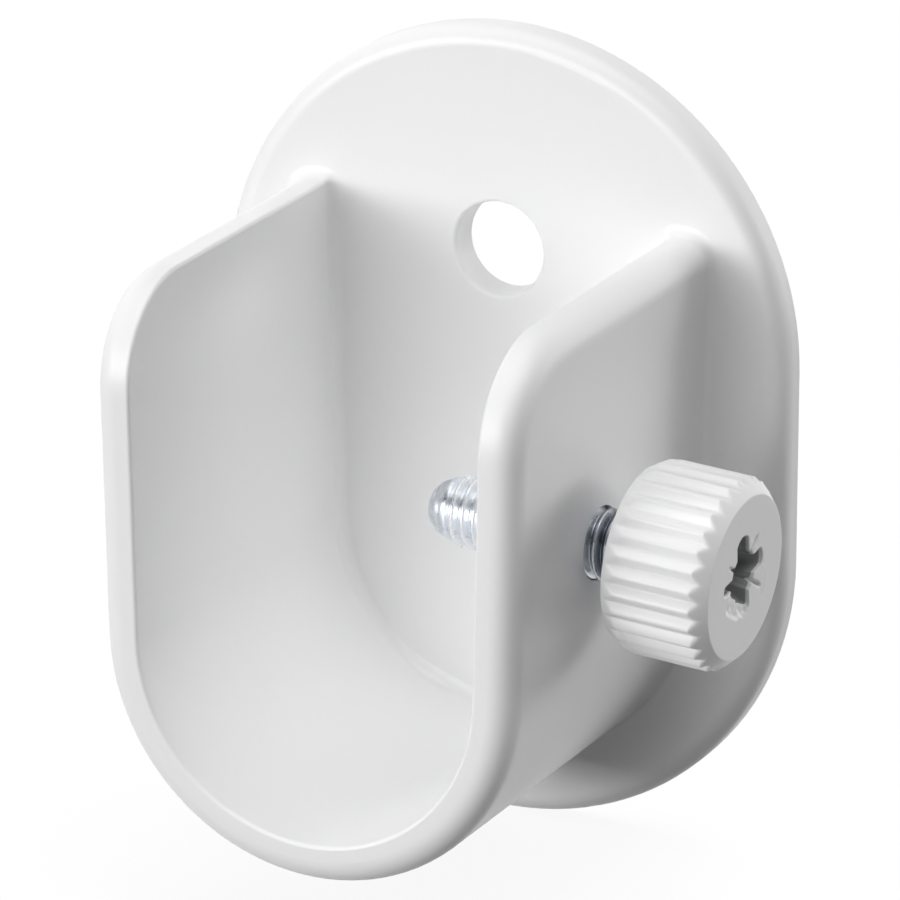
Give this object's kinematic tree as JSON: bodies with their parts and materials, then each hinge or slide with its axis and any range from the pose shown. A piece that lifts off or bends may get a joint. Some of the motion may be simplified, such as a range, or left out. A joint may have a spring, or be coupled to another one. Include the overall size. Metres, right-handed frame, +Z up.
{
  "type": "curtain pole bracket",
  "caption": "Wall bracket whose open-topped cup takes the end of a curtain pole and clamps it with a knurled thumbscrew.",
  "frame": {"origin": "middle of the flat back face that lies against the wall, at the middle of the plate's height and width", "axes": "+Z up, +Y into the wall, -Y out of the wall towards the cup's open front, +X towards the thumbscrew's head"},
  "size_m": [0.0473, 0.03, 0.056],
  "materials": {
    "white_coating": "satin",
    "screw_coating": "satin"
  },
  "bodies": {
    "bracket": {"bracket": "white_coating"},
    "thumbscrew": {"thumbscrew": "screw_coating"}
  },
  "joints": [
    {"name": "clamp_travel", "type": "slide", "parent": "bracket", "child": "thumbscrew", "axis": [0.9986, 0, -0.0523], "range_m": [-0.0026, 0.0096]}
  ]
}
